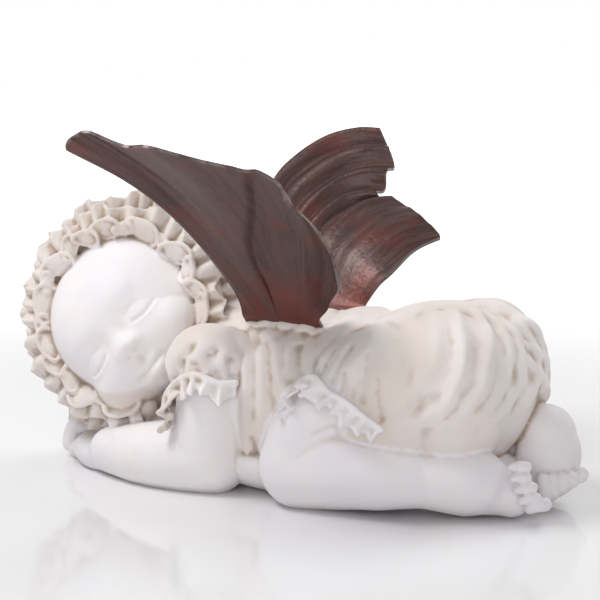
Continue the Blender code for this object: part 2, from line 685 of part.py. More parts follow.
def figure(finish, home):
    """Build the casting: fuse the masses into one skin, thin it and cut its underside flat."""
    bm = bmesh.new()
    for add in (head, bonnet, dress, limbs, digits, underside, back_ridges):
        add(bm)
    bmesh.ops.transform(bm, verts=bm.verts, matrix=Matrix.Scale(UNIT, 4))
    mesh = bpy.data.meshes.new("figure")
    bm.to_mesh(mesh)
    bm.free()
    made = bpy.data.objects.new("figure", mesh)
    home.objects.link(made)
    fuse = made.modifiers.new("Fuse", "REMESH")
    fuse.mode = "VOXEL"
    fuse.voxel_size = VOXEL
    soften = made.modifiers.new("Soften", "SMOOTH")
    soften.factor = 0.5
    soften.iterations = 2
    apply_modifiers(made)

    bm = bmesh.new()
    bm.from_mesh(made.data)
    keep_largest(bm)
    bmesh.ops.triangulate(bm, faces=bm.faces)
    count = len(bm.faces)
    bm.to_mesh(made.data)
    bm.free()
    thin = made.modifiers.new("Thin", "DECIMATE")
    thin.ratio = min(1.0, FIGURE_TRIANGLES / count)
    apply_modifiers(made)

    bm = bmesh.new()
    bm.from_mesh(made.data)
    bmesh.ops.bisect_plane(bm, geom=bm.verts[:] + bm.edges[:] + bm.faces[:],
                           plane_co=(0, 0, SINK * UNIT), plane_no=(0, 0, 1), clear_inner=True)
    rim = [edge for edge in bm.edges if edge.is_boundary]
    bmesh.ops.holes_fill(bm, edges=rim)
    bmesh.ops.triangulate(bm, faces=bm.faces)
    bmesh.ops.recalc_face_normals(bm, faces=bm.faces)
    bm.to_mesh(made.data)
    bm.free()
    made.data.materials.clear()
    made.data.materials.append(finish)
    return made


def main():
    """Build the three pieces and set the whole on its bottom centre."""
    for old in list(bpy.data.objects):
        bpy.data.objects.remove(old)
    home = bpy.data.collections.new("SleepingFigure")
    tools = bpy.data.collections.new("Cutters")
    bpy.context.scene.collection.children.link(home)
    bpy.context.scene.collection.children.link(tools)
    stone = material("cast_stone", (0.80, 0.77, 0.72), 0.75, 0.0)
    patina = material("wing_patina", (0.13, 0.085, 0.075), 0.45, 0.6)

    body = figure(stone, home)
    wings = []
    for name, side in (("left_wing", -1), ("right_wing", 1)):
        tool = slot_cutter(name + "_slot", side, tools)
        cut = body.modifiers.new(name + "_slot", "BOOLEAN")
        cut.operation = "DIFFERENCE"
        cut.solver = "EXACT"
        cut.object = tool
        apply_modifiers(body)
        wings.append(wing(name, side, patina, home))
    pieces = [body] + wings

    low = Vector([min(v.co[i] for p in pieces for v in p.data.vertices) for i in range(3)])
    high = Vector([max(v.co[i] for p in pieces for v in p.data.vertices) for i in range(3)])
    shift = Vector((-(low.x + high.x) / 2, -(low.y + high.y) / 2, -low.z))
    for piece in pieces:
        piece.data.transform(Matrix.Translation(shift))
        piece.data.update()
        print("part", piece.name, len(piece.data.polygons), "faces")
    for tool in tools.objects:
        tool.data.transform(Matrix.Translation(shift))
    print("shift_mm", [round(c * 1000, 3) for c in shift])
    print("size_mm", [round(c * 1000, 2) for c in (high - low)])


main()
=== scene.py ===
"""Dresses the sleeping winged garden figure: finer carving, patina, floor, light and camera."""
import math

import bmesh
import bpy
import numpy as np
from bpy.props import FloatProperty, FloatVectorProperty, IntProperty, PointerProperty
from mathutils import Matrix, Vector


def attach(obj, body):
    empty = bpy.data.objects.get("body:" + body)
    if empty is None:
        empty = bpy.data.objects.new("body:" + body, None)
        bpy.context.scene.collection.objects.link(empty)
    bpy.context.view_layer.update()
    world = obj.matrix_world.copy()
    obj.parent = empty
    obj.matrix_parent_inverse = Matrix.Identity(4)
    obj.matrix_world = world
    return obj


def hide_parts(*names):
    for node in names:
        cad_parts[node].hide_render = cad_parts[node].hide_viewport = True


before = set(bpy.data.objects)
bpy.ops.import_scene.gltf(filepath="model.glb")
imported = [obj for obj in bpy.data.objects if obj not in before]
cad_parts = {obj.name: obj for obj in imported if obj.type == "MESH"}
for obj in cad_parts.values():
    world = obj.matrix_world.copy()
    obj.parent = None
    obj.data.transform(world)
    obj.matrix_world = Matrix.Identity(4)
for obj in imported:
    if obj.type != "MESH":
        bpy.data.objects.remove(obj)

bl_info = {
    "name": "Sleeping Garden Figure",
    "version": (1, 0, 0),
    "blender": (4, 5, 0),
    "location": "View3D > Sidebar > Sleeper",
    "description": "Carves and finishes the sleeping winged garden figure",
    "category": "Object",
}

# The pose is drawn in millimetres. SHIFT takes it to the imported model's zero, and SINK is the
# height at which the underside is cut flat.
UNIT = 0.001
SHIFT = Vector((4.234, -1.875, -1.0))
SINK = 1.0

# The head sits in the middle of the bonnet and faces out of its opening
HEAD = Vector((-88.5, 0.0, 71.0))
HEAD_FACE = Vector((0.10, -0.987, 0.13)).normalized()
HEAD_LEFT = Vector((-0.795, 0.0, 0.607)).cross(HEAD_FACE).normalized()
HEAD_CROWN = HEAD_FACE.cross(HEAD_LEFT).normalized()
HEAD_RADIUS = 43.0

# A small child's face by the common canon: the brow at half the head's height, four equal
# steps from there down to the chin, and a head five eyes wide
BROW = 2.0
FACE_STEP = HEAD_RADIUS / 4
EYE = HEAD_RADIUS * 2 / 5

# The bonnet's frill: its pleats go round the face from one angle to the other, in degrees,
# with petals inside them
FRILL_CENTRE = Vector((-84.5, -20.0, 77.5))
FRILL_AXIS = HEAD_FACE
FRILL_INNER = 42.0
FRILL_OUTER = 56.0
FRILL_PLEATS = 36
FRILL_START = -56.0
FRILL_END = 232.0
PETALS = 20

# The wings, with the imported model's sizes and places. Over FREE, the first share of its reach,
# a wing widens from its straight root, which ROOT_PULL keeps straight on for a little.
SHEET = 1.4
SLOT_DEPTH = 9.0
ROOT_STAND = 4.5
FREE = 2 / 7
ROOT_PULL = 8.0
STEM_ROWS = 8
OUTLINE_STEPS = 480
WING_ROOT = 40.0
WING_REACH = 118.0
LEFT_LEAN = 46.0
RIGHT_LEAN = 40.0
ROOT_X = 2.0
ROOT_Y = 19.0
ROOT_Z = 80.0

# How strongly the casting's fine hollows take the wash, which is partly real wash and partly painted
# shade, and how strongly its broad hollows take painted shade, and how far around each point both are
# measured, in rounds over its neighbours
FINE_ROUNDS = 8
BROAD_ROUNDS = 60
FINE_WASH_AND_SHADE = 3.4
BROAD_SHADE = 0.50

# The stage, in metres but for the camera's aim: each lamp has a place, a size and a power
WHITE = (1.0, 1.0, 1.0, 1.0)
FLOOR_RADIUS = 3.0
SKY_STRENGTH = 0.42
CAMERA_AIM = Vector((0, 0, 88.5))
LAMP_AIM = Vector((0, 0, 0.06))
LAMPS = (("key", (-0.45, -0.35, 0.95), 0.45, 6.5),
         ("back", (0.30, 0.80, 0.80), 0.60, 4.0),
         ("front", (0.55, -1.20, 0.40), 0.80, 3.9))

# The near sleeve's edge and the near leg's edge of the dress
CUFF = [(-45, -42, 33), (-47, -45, 43), (-42, -48, 51), (-34, -50, 57), (-25, -51, 59),
        (-16, -49, 56), (-9, -45, 56)]
HEM = [(19, -45, 47), (25, -50, 58), (34, -53, 64), (44, -57, 59), (54, -60, 56),
       (63, -61, 50.5), (71, -59, 45)]

# The arms and legs: the points that each runs through, and its radius at each
LIMBS = (
    ([(-28, -30, 58), (-29, -32, 38), (-30, -31, 17)], [16.5, 17.5, 18.5]),
    ([(-30, -31, 17), (-46, -33, 16), (-64, -32, 14.5), (-88, -25, 12.5)], [18.5, 17.5, 15.5, 12]),
    ([(-28, 30, 58), (-35, 38, 38), (-40, 43, 17)], [16.5, 17.5, 18.5]),
    ([(-40, 43, 17), (-58, 38, 16), (-78, 28, 15), (-98, 14, 15)], [18.5, 17, 14.5, 11]),
    ([(76, -28, 52), (48, -34, 50), (30, -36, 40), (21, -37, 20)], [20, 19.5, 19.5, 20]),
    ([(76, 28, 52), (48, 34, 50), (30, 36, 40), (21, 37, 20)], [20, 19.5, 19.5, 20]),
    ([(21, -37, 19), (42, -38, 21.5), (62, -38, 22), (80, -33, 20.5), (96, -24, 18.5)],
     [20, 20, 18.5, 15, 16.8]),
    ([(96, -24, 18.5), (104, -20.5, 15.5), (109, -18, 13), (115, -17, 10.5)],
     [16.8, 14.2, 11.6, 8.8]),
    ([(21, 37, 19), (44, 35, 20), (66, 31, 19.5), (90, 28, 18), (108, 24, 22)],
     [20, 19.5, 18.5, 15, 14.5]),
)


class CastingSettings(bpy.types.PropertyGroup):
    """Sizes and colours of the casting."""
    skin: FloatProperty(name="Skin grid", description="Grid size of the fused skin, in mm",
                        default=0.7, min=0.5, max=3.0)
    triangles: IntProperty(name="Triangles", description="Triangles that the casting may have",
                           default=185000, min=20000, max=195000)
    cream: FloatVectorProperty(name="Cream", description="Colour of the bare casting",
                               default=(0.84, 0.80, 0.80), subtype="COLOR", min=0.0, max=1.0)
    # Colour of the real brown wash, which also paints shade into the casting's hollows
    wash_and_shade: FloatVectorProperty(name="Wash", description="Colour of the wash in the hollows",
                              default=(0.42, 0.30, 0.21), subtype="COLOR", min=0.0, max=1.0)


class WingSettings(bpy.types.PropertyGroup):
    """Colours and detail of the wings."""
    bronze: FloatVectorProperty(name="Bronze", description="Colour of the dark patina",
                                default=(0.055, 0.028, 0.025), subtype="COLOR", min=0.0, max=1.0)
    rust: FloatVectorProperty(name="Rust", description="Colour of the red patches",
                              default=(0.15, 0.030, 0.020), subtype="COLOR", min=0.0, max=1.0)
    bare: FloatVectorProperty(name="Bare metal", description="Colour of the rubbed rim and ridges",
                              default=(0.20, 0.175, 0.17), subtype="COLOR", min=0.0, max=1.0)
    columns: IntProperty(name="Columns", description="Steps across a wing",
                         default=216, min=36, max=400)
    rows: IntProperty(name="Rows", description="Steps from a wing's root to its rim",
                      default=96, min=10, max=200)


class StageSettings(bpy.types.PropertyGroup):
    """The floor, the light and where the camera stands."""
    floor: FloatVectorProperty(name="Floor", description="Colour of the floor and backdrop",
                               default=(0.85, 0.85, 0.865), subtype="COLOR", min=0.0, max=1.0)
    distance: FloatProperty(name="Distance", description="From the camera to the figure",
                            default=1.05, min=0.3, max=5.0, unit="LENGTH")
    azimuth: FloatProperty(name="Azimuth", description="Camera's turn about the figure",
                           default=math.radians(28.0), subtype="ANGLE")
    elevation: FloatProperty(name="Elevation", description="Camera's height over the level",
                             default=math.radians(9.0), subtype="ANGLE")
    lens: FloatProperty(name="Lens", description="Focal length in mm on a 36 mm sensor",
                        default=134.6, min=20.0, max=300.0)


def bump(x, y, cx, cy, wide, tall):
    """Height of a soft round bump at (x, y)."""
    return np.exp(-0.5 * (((x - cx) / wide) ** 2 + ((y - cy) / tall) ** 2))


def smooth(low, high, value):
    """Ease from 0 at low to 1 at high."""
    t = np.clip((value - low) / (high - low), 0.0, 1.0)
    return t * t * (3.0 - 2.0 * t)


def mirrored(points):
    """The same points on the other side of the body."""
    return [Vector((p[0], -p[1], p[2])) for p in points]


def unit(x, y, z):
    """A direction of length 1."""
    return Vector((x, y, z)).normalized()


def through(points, steps):
    """Points on a smooth line through the given ones."""
    knots = [Vector(p) for p in points]
    knots = [2 * knots[0] - knots[1]] + knots + [2 * knots[-1] - knots[-2]]
    line = []
    spans = len(knots) - 3
    for i in range(steps + 1):
        at = min(i * spans / steps, spans - 1e-6)
        k = int(at)
        t = at - k
        a, b, c, d = knots[k:k + 4]
        line.append(0.5 * (2 * b + (c - a) * t + (2 * a - 5 * b + 4 * c - d) * t * t
                           + (3 * b - a - 3 * c + d) * t ** 3))
    return line


def places(mesh):
    """A mesh's points and their normals, as two arrays."""
    found = []
    for kind in ("co", "normal"):
        flat = np.empty(len(mesh.vertices) * 3, dtype=np.float32)
        mesh.vertices.foreach_get(kind, flat)
        found.append(flat.reshape(-1, 3).astype(float))
    return found


def set_places(mesh, at):
    """Move a mesh's points."""
    mesh.vertices.foreach_set("co", at.astype(np.float32).ravel())
    mesh.update()


def baked(made):
    """A new mesh of an object as its modifiers or its bevel show it."""
    bpy.context.view_layer.update()
    return bpy.data.meshes.new_from_object(made.evaluated_get(
        bpy.context.evaluated_depsgraph_get()))


def apply_modifiers(made):
    """Replace an object's mesh by its modified one."""
    done = baked(made)
    made.modifiers.clear()
    old = made.data
    made.data = done
    bpy.data.meshes.remove(old)


def holder_of(bm, name):
    """Put a bmesh in an object of its own."""
    mesh = bpy.data.meshes.new(name)
    bm.to_mesh(mesh)
    bm.free()
    made = bpy.data.objects.new(name, mesh)
    bpy.context.scene.collection.objects.link(made)
    return made


def fuse(made, voxel, rounds):
    """Fuse all that an object holds into one skin and soften it."""
    skin = made.modifiers.new("Fuse", "REMESH")
    skin.mode = "VOXEL"
    skin.voxel_size = voxel
    soften = made.modifiers.new("Soften", "SMOOTH")
    soften.factor = 0.5
    soften.iterations = rounds
    apply_modifiers(made)


def add_wall(made, thick):
    """Give a sheet its thickness, half of it to each side."""
    wall = made.modifiers.new("Wall", "SOLIDIFY")
    wall.thickness = thick
    wall.offset = 0.0
    wall.use_even_offset = False


def to_frame(bm):
    """Move a bmesh from the pose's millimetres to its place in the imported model."""
    bmesh.ops.translate(bm, verts=bm.verts, vec=SHIFT)
    bmesh.ops.scale(bm, verts=bm.verts, vec=(UNIT, UNIT, UNIT))


def pour(bm, made):
    """Add a working object's modified mesh to a bmesh and remove the object."""
    apply_modifiers(made)
    bm.from_mesh(made.data)
    done = made.data
    bpy.data.objects.remove(made)
    bpy.data.meshes.remove(done)


def ball(bm, centre, radii, axes=None, detail=4):
    """Add an ellipsoid with the given axes."""
    axes = axes or (Vector((1, 0, 0)), Vector((0, 1, 0)), Vector((0, 0, 1)))
    turn = Matrix([axes[0] * radii[0], axes[1] * radii[1], axes[2] * radii[2]]).transposed()
    place = Matrix.Translation(Vector(centre)) @ turn.to_4x4()
    small = bmesh.new()
    bmesh.ops.create_icosphere(small, subdivisions=detail, radius=1.0, matrix=place)
    if turn.determinant() < 0:
        bmesh.ops.reverse_faces(small, faces=small.faces)
    mesh = bpy.data.meshes.new("ball")
    small.to_mesh(mesh)
    small.free()
    bm.from_mesh(mesh)
    bpy.data.meshes.remove(mesh)


def limb(bm, points, radii, detail=3):
    """Add a rounded limb: a bevelled curve through the points with a ball at each end."""
    curve = bpy.data.curves.new("limb", "CURVE")
    curve.dimensions = "3D"
    curve.bevel_depth = 1.0
    curve.bevel_resolution = 10
    curve.resolution_u = 10
    curve.use_fill_caps = True
    spline = curve.splines.new("BEZIER")
    spline.bezier_points.add(len(points) - 1)
    for knot, point, radius in zip(spline.bezier_points, points, radii):
        knot.co = point
        knot.radius = radius
        knot.handle_left_type = "AUTO"
        knot.handle_right_type = "AUTO"
    holder = bpy.data.objects.new("limb", curve)
    bpy.context.scene.collection.objects.link(holder)
    swept = baked(holder)
    bm.from_mesh(swept)
    bpy.data.objects.remove(holder)
    bpy.data.curves.remove(curve)
    bpy.data.meshes.remove(swept)
    for end, radius in ((points[0], radii[0]), (points[-1], radii[-1])):
        ball(bm, end, (radius,) * 3, detail=detail)


def plate(bm, grid, thick):
    """Add a closed plate of even thickness whose middle surface is a grid of points."""
    columns = len(grid) - 1
    rows = len(grid[0]) - 1
    sheet = bmesh.new()
    made = bmesh.ops.create_grid(sheet, x_segments=columns, y_segments=rows, size=1.0)
    for vert in made["verts"]:
        i = int(round((vert.co.x + 1.0) * columns / 2))
        j = int(round((vert.co.y + 1.0) * rows / 2))
        vert.co = grid[i][j]
    holder = holder_of(sheet, "plate")
    add_wall(holder, thick)
    pour(bm, holder)


def strip(bm, path, hang, face, shape, thick=1.6, rows=8):
    """Add a frilled band. shape(share, v) gives its drop, its wave out and its shift along."""
    grid = []
    for i, point in enumerate(path):
        along = (path[min(i + 1, len(path) - 1)] - path[max(i - 1, 0)]).normalized()
        out = face(point, along).normalized()
        down = hang(point, along).normalized()
        line = []
        for j in range(rows + 1):
            drop, wave, slide = shape(i / (len(path) - 1), j / rows)
            line.append(point + down * drop + out * wave + along * slide)
        grid.append(line)
    plate(bm, grid, thick)


def blend(bm, masses, rounds, voxel=1.1, relief=None):
    """Add masses fused into one skin and softened. relief then moves it along its normals."""
    soft = bmesh.new()
    masses(soft)
    holder = holder_of(soft, "blend")
    fuse(holder, voxel, int(rounds * (1.4 / voxel) ** 2))
    if relief:
        at, out = places(holder.data)
        set_places(holder.data, at + out * relief(at)[:, None])
    pour(bm, holder)


def head_point(left, face, crown):
    """A point given in the head's own axes."""
    return HEAD + HEAD_LEFT * left + HEAD_FACE * face + HEAD_CROWN * crown


def face_relief(left, crown):
    """Height of a calm sleeping child's features, at places seen from the front."""
    side = np.abs(left)
    eyes = BROW - FACE_STEP
    nose = BROW - 2 * FACE_STEP
    mouth = BROW - 3 * FACE_STEP
    chin = BROW - 4 * FACE_STEP
    height = 2.4 * bump(side, crown, 1.25 * EYE, nose - 2.0, 10, 9)
    height -= 2.0 * bump(side, crown, EYE * 0.85, eyes + 1.0, 10, 5.5)
    height += 0.8 * bump(side, crown, EYE * 0.9, BROW + 2.0, 10, 4)

    height += 2.3 * bump(side, crown, EYE, eyes, 7.0, 4.0)
    lash = eyes - 3.0 + 0.035 * (side - EYE) ** 2
    across = smooth(0.5 * EYE, 0.68 * EYE, side) * smooth(1.5 * EYE, 1.3 * EYE, side)
    height -= 1.2 * across * bump(crown, 0, lash, 0, 0.65, 1)
    height += 0.5 * across * bump(crown, 0, lash - 1.6, 0, 0.8, 1)
    height -= 0.4 * across * bump(crown, 0, eyes + 4.6 - 0.03 * (side - EYE) ** 2, 0, 0.8, 1)

    height += 1.1 * bump(left, crown, 0, eyes - 2.0, 3.2, 6.0)
    height += 4.2 * bump(left, crown, 0, nose + 3.6, 3.9, 3.5)
    height += 1.9 * bump(side, crown, 4.9, nose + 2.0, 2.2, 2.2)
    height -= 0.9 * bump(side, crown, 2.7, nose - 0.8, 1.1, 0.8)

    line = mouth + 0.012 * left * left
    wide = smooth(8.4, 6.2, side)
    dip = 1.0 - 0.3 * np.exp(-0.5 * (left / 1.3) ** 2)
    height += 1.6 * dip * bump(left, crown, 0, line + 1.9, 4.8, 1.4)
    height += 2.0 * bump(left, crown, 0, line - 2.4, 4.2, 1.7)
    height -= 1.3 * wide * bump(crown, 0, line, 0, 0.6, 1)
    height -= 0.7 * bump(side, crown, 8.6, line + 0.4, 1.5, 1.5)
    height -= 0.4 * bump(left, crown, 0, line + 5.6, 1.2, 2.2)
    height -= 0.9 * bump(left, crown, 0, mouth - 6.2, 6.0, 1.5)
    return height + 1.7 * bump(left, crown, 0, chin + 4.8, 6.5, 3.6)


def head(bm):
    """Add the head with its face, the bonnet's gathered cap and the neck."""
    axes = (HEAD_LEFT, HEAD_FACE, HEAD_CROWN)

    def skull(soft):
        low = HEAD_RADIUS - 2
        ball(soft, head_point(0, 0, 4), (HEAD_RADIUS, low, low), axes, 5)
        ball(soft, head_point(0, 11, -15), (34, 29, 24), axes, 5)
        for side in (-1, 1):
            ball(soft, head_point(side * 19, 21, -20), (14, 14, 14), axes)
        ball(soft, head_point(0, 26, -32), (10, 9, 8), axes)

    def features(at):
        reach = at - np.array(HEAD)
        front = smooth(6.0, 20.0, reach @ np.array(HEAD_FACE))
        return front * face_relief(reach @ np.array(HEAD_LEFT), reach @ np.array(HEAD_CROWN))

    cap_centre = FRILL_CENTRE - FRILL_AXIS * 28

    def cap(soft):
        ball(soft, cap_centre, (49, 45, 49), axes, 6)

    def rim_gathers(at):
        reach = at - np.array(cap_centre)
        depth = reach @ np.array(HEAD_FACE)
        turn = np.arctan2(reach @ np.array(HEAD_CROWN), reach @ np.array(HEAD_LEFT))
        band = smooth(-45.0, -24.0, depth) * smooth(22.0, 4.0, depth)
        rim = np.sin(31 * turn + 1.4 * np.sin(3 * turn)) + 0.5 * np.sin(53 * turn + 2.0)
        puff = 0.8 * np.sin(9 * turn + 0.8)
        return band * (0.7 * rim * smooth(-30.0, 8.0, depth) + puff)

    blend(bm, skull, 90, 0.9, features)
    blend(bm, cap, 1, 1.0, rim_gathers)
    limb(bm, [(-62, 2, 60), (-40, 0, 60), (-20, 0, 56)], [27, 25, 30])


def bonnet(bm):
    """Add the two tiers of pleats around the face and the petals inside them."""
    first = HEAD_LEFT - FRILL_AXIS * HEAD_LEFT.dot(FRILL_AXIS)
    first.normalize()
    second = first.cross(FRILL_AXIS)
    if second.dot(HEAD_CROWN) < 0:
        second = -second

    def spoke(turn):
        return first * math.cos(turn) + second * math.sin(turn)

    def ring(radius, back, steps):
        line = []
        for i in range(steps + 1):
            turn = math.radians(FRILL_START + (FRILL_END - FRILL_START) * i / steps)
            line.append(FRILL_CENTRE + spoke(turn) * radius - FRILL_AXIS * back)
        return line

    def outward(point, _along):
        across = point - FRILL_CENTRE
        return across - FRILL_AXIS * across.dot(FRILL_AXIS) - FRILL_AXIS * 9.0

    def forward(_point, _along):
        return FRILL_AXIS

    def tier(width, wave, pleats, phase):
        def shape(share, v):
            turn = 2 * math.pi * pleats * share + 1.6 * math.sin(11 * share + phase)
            turn += 1.1 * math.sin(29 * share + 2 * phase)
            box = math.tanh(1.6 * math.sin(turn))
            drop = width * v * (1.0 + 0.13 * math.sin(turn * 0.31 + phase)
                                + 0.09 * math.sin(turn * 0.73))
            lean = 1.3 * math.sin(turn * 0.23 + phase) + 0.7 * math.sin(turn * 0.57)
            slide = (0.8 + 0.5 * math.sin(turn * 0.19)) * math.sin(2 * turn)
            return drop, wave * box * (0.25 + 0.75 * v) + lean * v, slide * v
        return shape

    steps = FRILL_PLEATS * 14
    band = FRILL_OUTER - FRILL_INNER
    strip(bm, ring(FRILL_INNER, -3.5, steps), outward, forward,
          tier(band - 2.5, 3.2, FRILL_PLEATS - 9, 0.4), 1.5)
    strip(bm, ring(FRILL_INNER + 5.5, 6.5, steps), outward, forward,
          tier(band - 2.4, 3.4, FRILL_PLEATS - 6, 2.1), 1.5)
    limb(bm, ring(FRILL_INNER + 2.5, 5.0, 24), [6.0] * 25, 2)
    for i in range(PETALS):
        angle = math.radians(FRILL_START + 10 + (FRILL_END - FRILL_START - 20) * i / (PETALS - 1))
        out = spoke(angle)
        along = out.cross(FRILL_AXIS)
        tilt = math.radians(30 * math.sin(i * 2.3) + (14 if i % 2 else -14))
        lead = along * math.cos(tilt) + out * math.sin(tilt)
        rise = (FRILL_AXIS - out * 0.5).normalized()
        rise = (rise - lead * rise.dot(lead)).normalized()
        across = lead.cross(rise)
        size = 0.95 + 0.32 * math.sin(i * 2.7 + 0.5)
        long = 7.6 * size
        middle = FRILL_CENTRE + out * (FRILL_INNER - 0.4 + 1.6 * math.sin(i * 3.1)) + FRILL_AXIS * 4.6
        rim = []
        for step in range(25):
            turn = 2 * math.pi * step / 24
            edge = across * (4.2 * size * math.sin(turn) * (1.0 + 0.25 * math.cos(turn)))
            rim.append(middle + lead * (long * math.cos(turn)) + edge
                       + rise * (0.8 * math.cos(2 * turn) + 0.5 * math.sin(i)))
        limb(bm, rim, [0.95] * 25, 2)
        ball(bm, middle - rise * 1.1, (long * 1.08, 4.6 * size, 2.0), (lead, across, rise), 3)


def near(at, path):
    """Distance of each place from a smooth path, and the share of the path that is nearest."""
    line = np.array([list(p) for p in path])
    best = np.full(len(at), 1e9)
    share = np.zeros(len(at))
    for i, point in enumerate(line):
        gap = np.linalg.norm(at - point, axis=1)
        closer = gap < best
        best[closer] = gap[closer]
        share[closer] = i / (len(line) - 1)
    return best, share


def fold_line(at, points, height, wide):
    """Height of one soft cloth fold that runs over the skin near a few points and dies out."""
    line = points
    for steps in (len(points) - 1, 16):
        line = [Vector(at[np.argmin(np.sum((at - np.array(point)) ** 2, axis=1))])
                for point in through(line, steps)]
    gap, share = near(at, through(line, 60))
    ends = smooth(0.0, 0.14, share) * smooth(1.0, 0.80, share)
    return height * np.exp(-(gap / wide) ** 2) * ends


def gathers(at, edge, top, depth):
    """Height of the pinched pleats that fan out from a sewn edge towards a point, on both sides."""
    height = np.zeros(len(at))
    edge = through(edge, 9)
    for i, start in enumerate(edge):
        reach = 0.42 + 0.16 * math.sin(i * 2.1)
        end = start.lerp(Vector(top), reach)
        bow = start.lerp(end, 0.5) + Vector((1.5 * math.sin(i * 1.3), 0, 0))
        line = [start, bow, end]
        height += fold_line(at, line, -depth * (1.0 + 0.3 * math.sin(i * 3.7)), 2.4)
        height += fold_line(at, mirrored(line), -depth, 2.4)
    return height


def folds(at):
    """Height of the dress's folds: gathers down the bodice, long curved folds on the romper."""
    x, y, z = at.T
    run = x + 0.12 * (z - 40.0) + 2.0 * np.sin(z * 0.09)
    height = 0.5 * np.sin(run * 0.55) + 0.35 * np.sin(run * 0.83 + 1.3)
    height *= smooth(14.0, 30.0, np.abs(y)) * smooth(34.0, 22.0, x)
    shared = (([(76, -2, 93), (95, -30, 88), (101, -38, 79), (101, -45, 67), (95, -49, 54),
                (79, -51, 43)], 2.7, 3.6),
              ([(81, 8, 92), (98, -11, 86), (109, -28, 78), (110, -37, 66), (104, -44, 53),
                (88, -45, 41)], 2.5, 3.4),
              ([(88, 7, 91), (102, -1, 84), (109, -9, 74), (113, -25, 63), (110, -35, 53),
                (98, -43, 43)], 1.7, 3.0),
              ([(95, 8, 90), (106, 4, 82), (112, -1, 72), (114, -11, 61), (113, -27, 51),
                (106, -38, 44)], 2.4, 3.6),
              ([(67, -5, 93), (83, -30, 89), (89, -40, 80), (87, -46, 68), (80, -50, 58),
                (70, -55, 50)], 1.5, 4.2),
              ([(62, -10, 90), (68, -26, 87), (74, -42, 79), (72, -51, 69), (63, -55, 59)],
               1.0, 4.4),
              ([(50, -8, 88), (53, -22, 85), (59, -45, 79), (54, -51, 70), (47, -51, 65)],
               0.9, 4.2),
              ([(35, -8, 87), (36, -21, 81), (35, -33, 75), (32, -43, 67)], 1.3, 3.6),
              ([(24, -26, 76), (34, -44, 66), (36, -52, 58)], 1.0, 3.6),
              ([(-8, -24, 76), (2, -36, 66), (7, -42, 51), (12, -50, 37)], -1.7, 3.0),
              ([(2, -24, 76), (6, -36, 64), (15, -46, 51), (20, -54, 35)], 1.8, 3.0),
              ([(13, -26, 74), (15, -34, 66), (15, -42, 53)], -1.5, 2.6),
              ([(-18, -26, 74), (-8, -38, 60), (-4, -42, 40), (0, -42, 26)], 1.6, 3.4))
    rear = (([(100, 12, 87), (110, 15, 77), (115, 14, 67), (117, 5, 56), (115, -8, 49)], 2.2, 3.6),
            ([(86, 14, 92), (101, 22, 85), (109, 24, 74), (113, 20, 62), (115, 12, 50)], 1.8, 3.8))
    for points, rise, wide in shared:
        height += fold_line(at, points, rise, wide)
        height += fold_line(at, mirrored([p for p in points if p[1] < 0]), rise * 0.8, wide)
    for points, rise, wide in rear:
        height += fold_line(at, points, rise, wide)
    return height + gathers(at, HEM, (58, -30, 96), 1.0)


def dress(bm):
    """Add the bodice and romper, the puffed sleeves and their frilled hems."""

    def trunk(soft):
        ball(soft, (0, 0, 41), (58, 42, 44))
        ball(soft, (34, 0, 52), (30, 38, 36))
        lift = math.radians(16.0)
        tilted = (Vector((math.cos(lift), 0, math.sin(lift))), Vector((0, 1, 0)),
                  Vector((-math.sin(lift), 0, math.cos(lift))))
        ball(soft, (70, 0, 52), (47, 50, 41), tilted)
        for side in (-1, 1):
            ball(soft, (60, side * 29, 52), (37, 27, 33))
            ball(soft, (84, side * 20, 56), (31, 29, 36))

    def puffs(soft):
        for side in (-1, 1):
            ball(soft, (-30, side * 33, 61), (21, 18, 19))
            ball(soft, (-21, side * 28, 64), (14, 13, 13))

    def puckers(at):
        x, _, z = at.T
        low = smooth(76.0, 56.0, z)
        soft_waves = low * (0.5 * np.sin(x * 0.75 + z * 0.3) + 0.3 * np.sin(x * 1.3 - z * 0.2 + 1.0))
        return soft_waves + gathers(at, CUFF, (-22, -36, 84), 1.7)

    blend(bm, trunk, 30, 0.9, folds)
    blend(bm, puffs, 8, 0.9, puckers)
    for points, middle in ((CUFF, Vector((-28, -32, 62))), (HEM, Vector((52, -28, 48)))):
        for line in ([Vector(p) for p in points], mirrored(points)):
            centre = Vector((middle.x, math.copysign(middle.y, line[0].y), middle.z))

            def away(point, along, centre=centre):
                out = point - centre
                return out - along * out.dot(along)

            def down(point, along, away=away):
                fall = along.cross(away(point, along))
                return fall if fall.z < 0 else -fall

            waves = 7 if points is CUFF else 8

            def curl(share, v, waves=waves):
                turn = 2 * math.pi * waves * share + math.sin(9 * share)
                turn += 0.5 * math.sin(23 * share)
                size = 0.85 + 0.3 * math.sin(turn * 0.29 + 1.0)
                open_out = math.sin(0.5 * math.pi * v)
                drop = 8.2 * v * (1.0 + 0.16 * math.sin(turn * 0.37) + 0.14 * math.sin(turn + 0.6))
                out = 0.6 + 3.9 * size * math.sin(turn) * (0.1 + 0.9 * open_out) + 2.6 * v * v
                return drop - 1.2 * v * v, out, 1.9 * size * math.sin(2 * turn) * open_out

            strip(bm, through(line, waves * 32), down, away, curl, 1.4, 10)
            limb(bm, through(line, 12), [1.6] * 13, 2)


